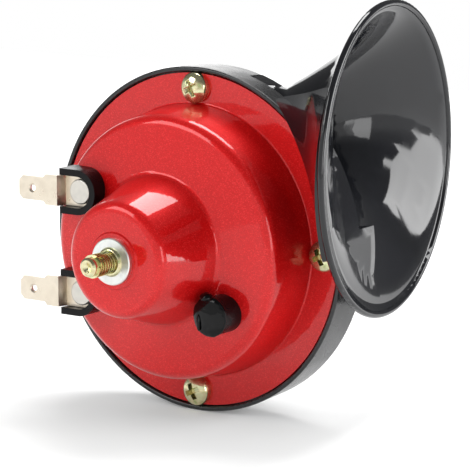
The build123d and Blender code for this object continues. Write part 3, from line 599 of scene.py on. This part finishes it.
# %% Shanks, and the heads round the flange
SOLID_HEAD_RADIUS = 3.8
SCREWS = 4
SHANK_OVERLAP = 0.2
SHANK_FRONT = HEAD_BACK - SHANK_OVERLAP
SCREW_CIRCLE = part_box("flange_screws")[1].x / MM - SOLID_HEAD_RADIUS

shanks = working_copy("flange_screws", "screw_shanks")
bpy.ops.mesh.bisect(plane_co=(0, SHANK_FRONT * MM, 0), plane_no=(0, 1, 0), use_fill=True, clear_inner=True)
screws = [settle(shanks)]
first_head = domed_head("screw_head_1", 0, SCREW_CIRCLE)
screws.append(first_head)
for place in range(1, SCREWS):
    head = bpy.data.objects.new(f"screw_head_{place + 1}", first_head.data.copy())
    bpy.context.scene.collection.objects.link(head)
    head.rotation_euler.y = place * 2 * pi / SCREWS
    screws.append(settle(head))
for piece in screws:
    give(piece, FINISHES["yellow_zinc"])
    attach(piece, "housing")
    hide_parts("flange_screws")
print("screw heads:", len(screws) - 1, "faces in one:", len(first_head.data.polygons))

# %% [markdown]
# ## A smooth skin on the spiral and the bell
# The solid trumpet is ruled in strips from section to section, so its facets meet along lines
# that a polished mould wouldn't leave, and a mirror finish shows every one. A copy of the solid
# has its strips welded together and shaded as one skin, with only the true edges kept sharp.

# %% Weld and smooth a copy of the trumpet
TRUE_EDGE = 32

trumpet_skin = settle(working_copy("trumpet", "trumpet_skin"), TRUE_EDGE)
give(trumpet_skin, FINISHES["black_trumpet"])
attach(trumpet_skin, "housing")
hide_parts("trumpet")
print("trumpet faces:", len(trumpet_skin.data.polygons))

# %% [markdown]
# ## The bell's front wall
# The bell's wall doesn't stop at the rim: it comes forward as a thin flare over the edge of the
# red flange. Its shape is set by three arcs, one under the bell's lip, one halfway, and one that
# just clears the flange. Each arc runs through three points and is spun from the first. The arcs
# are bridged, and the strip is subdivided and given the wall's thickness.

# %% Arcs through three points
ARC_STEPS = 28
WALL = 1.1
UNDER_LIP = ((50.2, 27.0, 46.0), (51.5, 18.6, 23.2), (50.3, 24.2, 1.0))
HALFWAY = ((37.6, 35.6, 42.0), (41.8, 31.6, 24.5), (44.6, 33.2, 3.6))
OVER_FLANGE = ((25.9, 37.3, 40.1), (35.9, 37.3, 22.5), (39.8, 37.3, 5.4))


def spun_arc(first, through, last):
    """Adds edges along the circle through three points in millimetres."""
    start, middle, end = (Vector(point) * MM for point in (first, through, last))
    near, far = middle - start, end - start
    axis = near.cross(far)
    lean = axis.cross(near) * far.length_squared + far.cross(axis) * near.length_squared
    centre = start + lean / (2 * axis.length_squared)
    arm, last_arm = start - centre, end - centre
    turn = atan2(axis.normalized().dot(arm.cross(last_arm)), arm.dot(last_arm)) % (2 * pi)
    bpy.ops.mesh.select_all(action="DESELECT")
    bpy.ops.mesh.primitive_plane_add(size=MM, location=start)
    bpy.ops.mesh.merge(type="CENTER")
    # Spin turns the left-handed way about its axis.
    bpy.ops.mesh.spin(steps=ARC_STEPS, angle=-turn, center=centre, axis=axis.normalized())


# %% Bridge the arcs into a wall
clear_selection()
bpy.ops.mesh.primitive_plane_add(size=MM)
bell_front = bpy.context.object
bell_front.name = "bell_front"
bpy.ops.object.mode_set(mode="EDIT")
bpy.ops.mesh.delete(type="VERT")
for points in (UNDER_LIP, HALFWAY, OVER_FLANGE):
    spun_arc(*points)
bpy.ops.mesh.select_all(action="SELECT")
bpy.ops.mesh.bridge_edge_loops()
settle(bell_front)
apply_modifier(bell_front, "SUBSURF", levels=2)
apply_modifier(bell_front, "SOLIDIFY", thickness=WALL * MM, offset=0.0)
settle(bell_front, TRUE_EDGE)
give(bell_front, FINISHES["black_trumpet"])
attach(bell_front, "housing")
print("bell front faces:", len(bell_front.data.polygons))

# %% [markdown]
# ## Resin on the adjuster
# Once the tone is set, the adjusting screw is drowned in black resin. It never sets flat: it
# stands proud of the collar, shrinks into a fold, and leaves a drop on the collar's edge. Each
# lump starts as a sphere, squashed to its size, and is wrinkled by a Displace modifier that reads
# a cloud texture. A lump is given by its middle, its three sizes and how deep it wrinkles.

# %% A wrinkled lump of resin
FOLD_MM = 1.6
FOLD_TEXTURE = bpy.data.textures.new("resin folds", "CLOUDS")
FOLD_TEXTURE.noise_scale = FOLD_MM * MM
FOLD_TEXTURE.noise_depth = 1
ALL_SMOOTH = 180


def resin_lump(name, centre, size, wrinkle):
    """A wrinkled drop of resin: its centre, three sizes and wrinkles' depth in millimetres."""
    clear_selection()
    place = tuple(v * MM for v in centre)
    bpy.ops.mesh.primitive_uv_sphere_add(segments=64, ring_count=40, radius=MM / 2, location=place)
    lump = bpy.context.object
    lump.name = name
    bpy.ops.object.mode_set(mode="EDIT")
    bpy.ops.transform.resize(value=size, center_override=place)
    settle(lump, ALL_SMOOTH)
    apply_modifier(
        lump, "DISPLACE", texture=FOLD_TEXTURE, texture_coords="GLOBAL",
        strength=wrinkle * MM, mid_level=0.5,
    )
    settle(lump, ALL_SMOOTH)
    give(lump, FINISHES["compound"])
    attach(lump, "housing")


# %% Pool, fold and drop on the collar
sleeve_low, sleeve_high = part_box("adjuster_sleeve")
adjuster_x = (sleeve_low.x + sleeve_high.x) / 2 / MM
adjuster_z = (sleeve_low.z + sleeve_high.z) / 2 / MM
sleeve_front = sleeve_low.y / MM
sleeve_radius = (sleeve_high.x - sleeve_low.x) / 2 / MM
sleeve_top = adjuster_z + sleeve_radius
resin_lump("resin_pool", (adjuster_x - 0.2, sleeve_front + 0.5, adjuster_z), (10.4, 3.0, 10.6), 0.25)
resin_lump("resin_fold", (adjuster_x - 2.9, sleeve_front - 0.7, adjuster_z - 1.6), (1.1, 1.4, 4.4), 0.2)
resin_lump("resin_drop", (adjuster_x - 1.3, sleeve_front + 0.6, sleeve_top), (3.6, 3.4, 2.4), 0.4)
print("resin lumps: 3, collar radius in mm:", round(sleeve_radius, 2))

# %% [markdown]
# ## Floor
# The horn stands on its rim on a white table. The table and the room behind it are both paper
# white, so its edge doesn't show. A little light of its own, seen only by the camera and by
# mirrors, lifts the table to paper white and leaves the horn's soft shadow on it.

# %% White table
FLOOR_SIZE = 1.2
FLOOR_GAP = 0.05
TABLE_GLOW = 0.12


def table_top():
    material = bpy.data.materials.new("matt white table")
    material.use_nodes = True
    tree = material.node_tree
    tree.nodes.remove(tree.nodes["Principled BSDF"])
    paper = add_node(tree, "ShaderNodeBsdfDiffuse", {"Color": srgb("f2f2f2")})
    path = add_node(tree, "ShaderNodeLightPath").outputs
    rays = {0: path["Is Camera Ray"], 1: path["Is Glossy Ray"]}
    seen = add_node(tree, "ShaderNodeMath", rays, operation="ADD")
    lift = add_node(tree, "ShaderNodeMath", {0: seen.outputs["Value"], 1: TABLE_GLOW}, operation="MULTIPLY")
    glow = add_node(tree, "ShaderNodeEmission", {"Strength": lift.outputs["Value"]})
    both = add_node(tree, "ShaderNodeAddShader", {0: paper.outputs["BSDF"], 1: glow.outputs["Emission"]})
    tree.links.new(both.outputs["Shader"], tree.nodes["Material Output"].inputs["Surface"])
    return material


clear_selection()
floor_z = cad_low.z - FLOOR_GAP * MM
bpy.ops.mesh.primitive_plane_add(size=FLOOR_SIZE, location=(0, 0, floor_z))
floor = bpy.context.object
floor.name = "floor"
give(floor, table_top())
print("floor at z in mm:", round(floor_z / MM, 2))

# %% [markdown]
# ## Light
# The room gives an even, plain light, but polished parts mirror its dark walls, pale only near
# the table on the camera's side. A softbox overhead and a little behind draws the bright patches
# on the tops of the cover's steps and casts the horn's shadow. One at the right draws the tall
# patch in the bell, and one near the camera lights the faces turned to it. The left one and the
# low one at the right are weak and lift the edges. Each lamp is placed by the direction it is
# seen in from the horn, and given its width and height in metres and its power in watts. The
# cover sends no coloured light onto the table, whose shadow stays a neutral grey.
#
# The walls' grey follows how far a direction leans up and back, from pale at nought to dark.

# %% Room and lamps
ROOM_LIGHT = 0.55
LAMP_DISTANCE = 0.9
UP_AND_BACK = (0, 0.35, 1)
WALL_GREYS = ((0.0, 0.9), (0.12, 0.45), (0.35, 0.18))


def white_room():
    world = bpy.data.worlds.new("white room")
    bpy.context.scene.world = world
    world.use_nodes = True
    tree = world.node_tree
    direction = add_node(tree, "ShaderNodeTexCoord").outputs["Generated"]
    lean = add_node(tree, "ShaderNodeVectorMath", {0: direction, 1: UP_AND_BACK}, operation="DOT_PRODUCT")
    stops = [(place, grey(value)) for place, value in WALL_GREYS]
    walls = add_node(tree, "ShaderNodeValToRGB", {"Fac": lean.outputs["Value"]}, stops).outputs["Color"]
    path = add_node(tree, "ShaderNodeLightPath").outputs
    mirrored = add_node(tree, "ShaderNodeMix", {0: path["Is Glossy Ray"], 2: ROOM_LIGHT, 3: walls})
    seen = add_node(tree, "ShaderNodeMix", {0: path["Is Camera Ray"], 2: mirrored.outputs[0], 3: 1.0})
    tree.links.new(seen.outputs[0], tree.nodes["Background"].inputs["Strength"])
    tree.nodes["Background"].inputs["Color"].default_value = srgb("ffffff")


def softbox(name, direction, width, height, watts):
    """A rectangular lamp seen from the horn in this direction, turned to face it."""
    light = bpy.data.lights.new(name, "AREA")
    light.shape = "RECTANGLE"
    light.size = width
    light.size_y = height
    light.energy = watts
    lamp = bpy.data.objects.new(name, light)
    bpy.context.scene.collection.objects.link(lamp)
    toward = Vector(direction).normalized()
    lamp.location = toward * LAMP_DISTANCE
    lamp.rotation_mode = "QUATERNION"
    lamp.rotation_quaternion = toward.to_track_quat("Z", "Y")
    lamp.visible_camera = False


nodes["cover"].visible_diffuse = False
white_room()
softbox("overhead softbox", (-0.08, 0.46, 0.88), 0.5, 0.34, 5.0)
softbox("right softbox", (0.82, 0.55, 0.2), 0.56, 0.5, 6.2)
softbox("left softbox", (-0.62, 0.76, 0.18), 0.55, 0.4, 1.4)
softbox("front softbox", (-0.5, -0.75, 0.6), 0.5, 0.4, 3.0)
softbox("low right softbox", (0.93, -0.34, 0.14), 0.3, 0.36, 1.2)
print("lamps:", len(bpy.data.lights))

# %% [markdown]
# ## Camera
# A product picture like this is taken from some way off with a long lens, so the horn shows
# almost no perspective. The camera stands off the horn's front at an azimuth and an elevation,
# rolled very slightly, and the rim's centre falls left of the frame's middle, at a pixel named
# below. Turning the camera to place that point keeps the lens unshifted.

# %% Long lens camera
FRAME_PIXELS = 470
FOCAL_PIXELS = 3300
SENSOR_WIDTH = 36.0
AZIMUTH = radians(36.22)
ELEVATION = radians(10.504)
ROLL = radians(0.357)
DISTANCE = 0.8695
FARTHEST_SEEN = 20
RIM_MIDDLE_Y = 37.8
RIM_CENTRE = Vector((0, RIM_MIDDLE_Y * MM, 0))
RIM_CENTRE_AT = (195.75, 239.88)

back = Vector((sin(AZIMUTH) * cos(ELEVATION), -cos(AZIMUTH) * cos(ELEVATION), sin(ELEVATION)))
right = Vector((cos(AZIMUTH), sin(AZIMUTH), 0))
straight = Matrix((right, back.cross(right), back))
middle = FRAME_PIXELS / 2
off_right = (RIM_CENTRE_AT[0] - middle) / FOCAL_PIXELS
off_up = (middle - RIM_CENTRE_AT[1]) / FOCAL_PIXELS
ray = Vector((off_right, off_up, -1))
swing = Vector((0, 0, -1)).rotation_difference(ray.normalized()).to_matrix()
look = Matrix.Rotation(ROLL, 3, "Z") @ swing @ straight

camera = bpy.data.objects.new("camera", bpy.data.cameras.new("long lens"))
bpy.context.scene.collection.objects.link(camera)
camera.data.sensor_width = SENSOR_WIDTH
camera.data.lens = FOCAL_PIXELS * SENSOR_WIDTH / FRAME_PIXELS
camera.data.clip_end = FARTHEST_SEEN
camera.matrix_world = Matrix.Translation(RIM_CENTRE + back * DISTANCE) @ look.transposed().to_4x4()
bpy.context.scene.camera = camera
bpy.context.scene.view_settings.view_transform = "Standard"
print("lens in mm:", round(camera.data.lens, 1))
